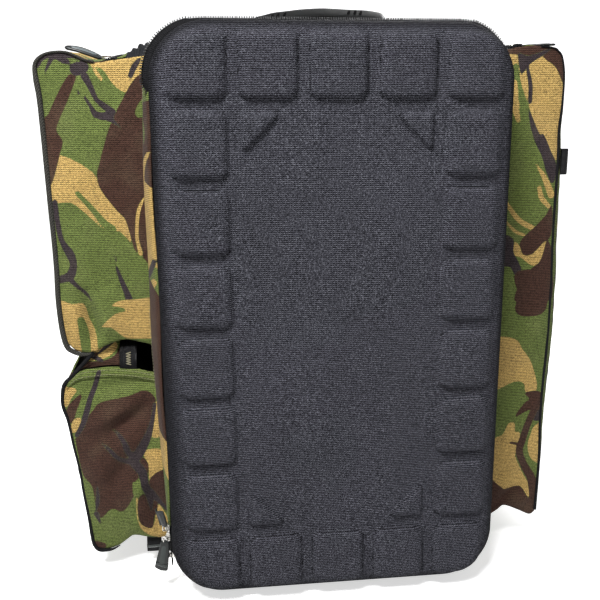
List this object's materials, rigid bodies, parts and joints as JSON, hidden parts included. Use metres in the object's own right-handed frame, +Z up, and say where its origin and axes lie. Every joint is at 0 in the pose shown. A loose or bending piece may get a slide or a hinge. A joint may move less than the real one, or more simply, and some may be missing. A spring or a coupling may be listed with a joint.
{
  "type": "tackle backpack",
  "caption": "Front-opening fishing rucksack with a moulded padded door, two left side pockets, one tall right pocket, a grab handle and a padded harness.",
  "frame": {"origin": "centre of the base, on the surface that the backpack stands on", "axes": "+Z up, -Y towards the moulded front panel, +X to the right of someone facing that panel"},
  "size_m": [0.6379, 0.354, 0.6591],
  "materials": {
    "moulded": "charcoal woven fabric laminated on moulded foam, matt",
    "camo": "matt woven polyester in a four colour woodland camouflage",
    "zip_tape": "black woven zip tape with moulded coil teeth",
    "webbing": "black ribbed polypropylene webbing",
    "binding": "black woven binding tape",
    "mesh": "black spacer mesh",
    "pad": "black woven nylon over foam",
    "liner": "coated grey lining",
    "board": "natural polyethylene sheet",
    "coated": "black coated base cloth, slightly shiny",
    "rubber": "soft grey-green moulded rubber, satin",
    "plastic": "black acetal, fine texture",
    "metal": "bright plated die-cast zinc"
  },
  "bodies": {
    "root": {"bag_zip_tape": "zip_tape", "storm_flap_left": "camo", "storm_flap_right": "camo", "lid_hinge_gusset": "binding", "front_slider_lower": "metal", "main_gusset": "camo", "main_back_wall": "liner", "base_board": "board", "frame_sheet": "board", "base_tray": "coated", "handle_anchor_left": "webbing", "handle_anchor_right": "webbing", "left_upper_pocket": "camo", "left_upper_zip": "zip_tape", "left_upper_piping": "webbing", "left_lower_pocket": "camo", "left_lower_piping": "webbing", "left_lower_hem": "camo", "left_hanger_strap": "webbing", "left_base_tab": "webbing", "right_pocket": "camo", "right_zip": "zip_tape", "right_piping": "webbing", "left_side_loop": "webbing", "right_side_loop": "webbing", "right_side_buckle_lower": "plastic", "right_side_buckle_upper": "plastic", "back_pad": "mesh", "lumbar_pad": "mesh", "harness_yoke": "binding", "strap_webbing_left": "webbing", "strap_webbing_right": "webbing"},
    "front_lid": {"front_shell": "moulded", "lid_zip_tape": "zip_tape", "lid_mesh_pocket": "mesh"},
    "front_upper_slider": {"front_slider_upper": "metal"},
    "front_upper_puller": {"front_puller_upper": "rubber"},
    "front_lower_puller": {"front_puller_lower": "rubber"},
    "left_upper_top": {"left_upper_lid": "camo"},
    "left_upper_zip_slider": {"left_upper_slider": "metal"},
    "left_upper_zip_puller": {"left_upper_puller": "rubber"},
    "right_top": {"right_lid": "camo"},
    "right_zip_slider": {"right_slider": "metal"},
    "right_zip_puller": {"right_puller": "rubber"},
    "grab_handle": {"carry_handle": "rubber"},
    "shoulder_strap_left": {"shoulder_strap_left": "pad", "ladder_lock_left": "plastic"},
    "sternum_strap_left": {"sternum_strap_left": "webbing", "sternum_buckle_left": "plastic"},
    "hip_wing_left": {"hip_wing_left": "pad", "hip_webbing_left": "webbing", "hip_buckle_left": "plastic"},
    "shoulder_strap_right": {"shoulder_strap_right": "pad", "ladder_lock_right": "plastic"},
    "sternum_strap_right": {"sternum_strap_right": "webbing", "sternum_buckle_right": "plastic"},
    "hip_wing_right": {"hip_wing_right": "pad", "hip_webbing_right": "webbing", "hip_buckle_right": "plastic"}
  },
  "joints": [
    {"name": "front_lid_hinge", "type": "hinge", "parent": "root", "child": "front_lid", "pos_m": [0, -0.148, 0.012], "axis": [1, 0, 0], "range_deg": [0, 90]},
    {"name": "front_slider_travel", "type": "slide", "parent": "root", "child": "front_upper_slider", "axis": [0, 0, 1], "range_m": [0, 0.4]},
    {"name": "front_upper_puller_swing", "type": "hinge", "parent": "front_upper_slider", "child": "front_upper_puller", "pos_m": [-0.197, -0.12, 0.074], "axis": [0, -1, 0], "range_deg": [0, 100]},
    {"name": "front_lower_puller_swing", "type": "hinge", "parent": "root", "child": "front_lower_puller", "pos_m": [-0.197, -0.12, 0.06], "axis": [0, 1, 0], "range_deg": [0, 80]},
    {"name": "left_upper_top_hinge", "type": "hinge", "parent": "root", "child": "left_upper_top", "pos_m": [-0.306, -0.065, 0.598], "axis": [0, -0.985, -0.1724], "range_deg": [0, 110]},
    {"name": "left_upper_slider_travel", "type": "slide", "parent": "left_upper_top", "child": "left_upper_zip_slider", "axis": [0, 0.985, 0.1724], "range_m": [0, 0.13]},
    {"name": "left_upper_puller_swing", "type": "hinge", "parent": "left_upper_zip_slider", "child": "left_upper_zip_puller", "pos_m": [-0.2345, -0.053, 0.6099], "axis": [0, 1, 0], "range_deg": [0, 160]},
    {"name": "right_top_hinge", "type": "hinge", "parent": "root", "child": "right_top", "pos_m": [0.274, -0.065, 0.61], "axis": [0, 0.9972, 0.0748], "range_deg": [0, 110]},
    {"name": "right_slider_travel", "type": "slide", "parent": "right_top", "child": "right_zip_slider", "axis": [0, 0.9972, 0.0748], "range_m": [0, 0.13]},
    {"name": "right_puller_swing", "type": "hinge", "parent": "right_zip_slider", "child": "right_zip_puller", "pos_m": [0.2265, -0.053, 0.6207], "axis": [0, -1, 0], "range_deg": [0, 160]},
    {"name": "grab_handle_lean", "type": "hinge", "parent": "root", "child": "grab_handle", "pos_m": [0, -0.04, 0.6316], "axis": [1, 0, 0], "range_deg": [-30, 30], "stiffness_Nm_per_rad": 0.4},
    {"name": "shoulder_strap_left_swing", "type": "hinge", "parent": "root", "child": "shoulder_strap_left", "pos_m": [-0.066, 0.144, 0.592], "axis": [1, 0, 0], "range_deg": [0, 30]},
    {"name": "sternum_strap_left_swing", "type": "hinge", "parent": "shoulder_strap_left", "child": "sternum_strap_left", "pos_m": [-0.06, 0.1893, 0.468], "axis": [0, -1, 0], "range_deg": [0, 90]},
    {"name": "hip_wing_left_swing", "type": "hinge", "parent": "root", "child": "hip_wing_left", "pos_m": [-0.1166, 0.15, 0.093], "axis": [0, 0, -1], "range_deg": [0, 100]},
    {"name": "shoulder_strap_right_swing", "type": "hinge", "parent": "root", "child": "shoulder_strap_right", "pos_m": [0.066, 0.144, 0.592], "axis": [1, 0, 0], "range_deg": [0, 30]},
    {"name": "sternum_strap_right_swing", "type": "hinge", "parent": "shoulder_strap_right", "child": "sternum_strap_right", "pos_m": [0.06, 0.1893, 0.468], "axis": [0, 1, 0], "range_deg": [0, 90]},
    {"name": "hip_wing_right_swing", "type": "hinge", "parent": "root", "child": "hip_wing_right", "pos_m": [0.1166, 0.15, 0.093], "axis": [0, 0, 1], "range_deg": [0, 100]}
  ]
}
